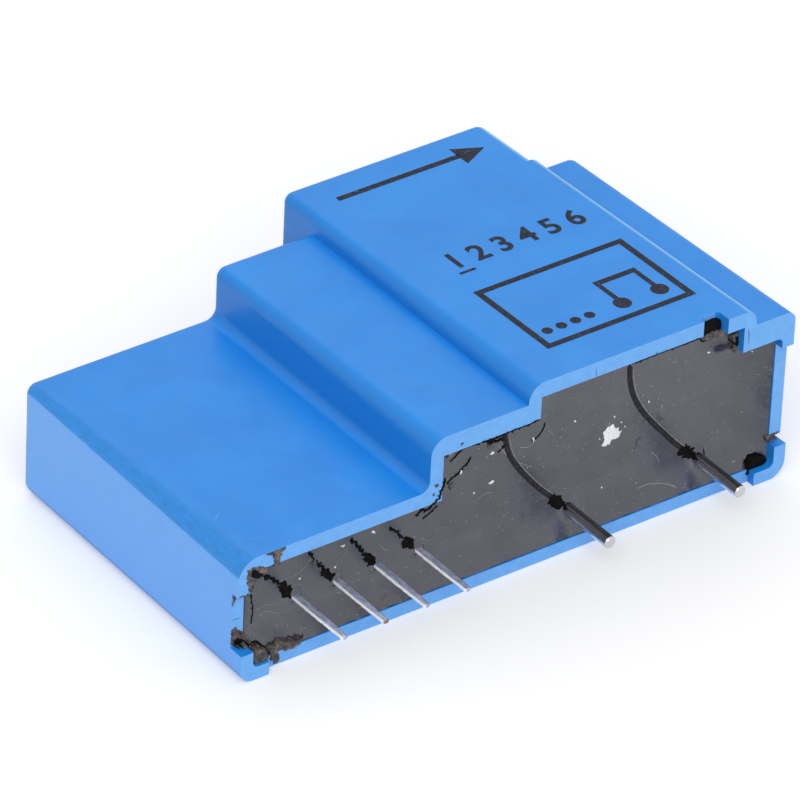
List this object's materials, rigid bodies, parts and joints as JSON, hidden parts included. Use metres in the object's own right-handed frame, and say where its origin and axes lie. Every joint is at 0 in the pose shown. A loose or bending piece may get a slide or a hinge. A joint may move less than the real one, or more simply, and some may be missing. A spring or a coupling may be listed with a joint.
{
  "type": "hall effect current sensor",
  "caption": "Potted current sensor for a circuit board: a stepped blue case with signal pins at one end and round primary pins at the other.",
  "frame": {"origin": "middle of the whole part in X and Y, at the flat back that it rests on", "axes": "+X runs from the thin signal end to the primary end, the pins leave along -Y, +Z rises from the flat back to the stepped top"},
  "size_m": [0.0344, 0.0252, 0.0112],
  "materials": {
    "case": "satin moulded blue polyester",
    "potting": "glossy dark epoxy",
    "signal_pin": "tinned bronze",
    "primary_winding": "copper wire with tinned ends",
    "winding_bobbin": "moulded black",
    "core_laminations": "varnished stamped sheet",
    "hall_element": "moulded black",
    "leads": "tinned copper alloy",
    "gap_shims": "insulating sheet",
    "circuit_board": "glass-filled laminate under green lacquer",
    "ic_body": "moulded black",
    "trimmer": "moulded blue",
    "trimmer_rotor": "turned brass",
    "chip_resistor": "fired chip",
    "chip_capacitor": "fired chip",
    "can": "drawn can on a black base",
    "solder": "solder"
  },
  "bodies": {
    "root": {"case": "case", "potting": "potting", "signal_pin_1": "signal_pin", "signal_pin_2": "signal_pin", "signal_pin_3": "signal_pin", "signal_pin_4": "signal_pin", "primary_winding": "primary_winding", "winding_bobbin": "winding_bobbin", "core_laminations": "core_laminations", "hall_element": "hall_element", "hall_leads": "leads", "gap_shims": "gap_shims", "circuit_board": "circuit_board", "amplifier_ic": "ic_body", "amplifier_leads": "leads", "offset_trimmer": "trimmer", "offset_trimmer_rotor": "trimmer_rotor", "gain_trimmer": "trimmer", "gain_trimmer_rotor": "trimmer_rotor", "chip_resistors": "chip_resistor", "chip_capacitors": "chip_capacitor", "protection_diode": "ic_body", "supply_capacitor": "can", "pin_solder": "solder"}
  },
  "joints": []
}
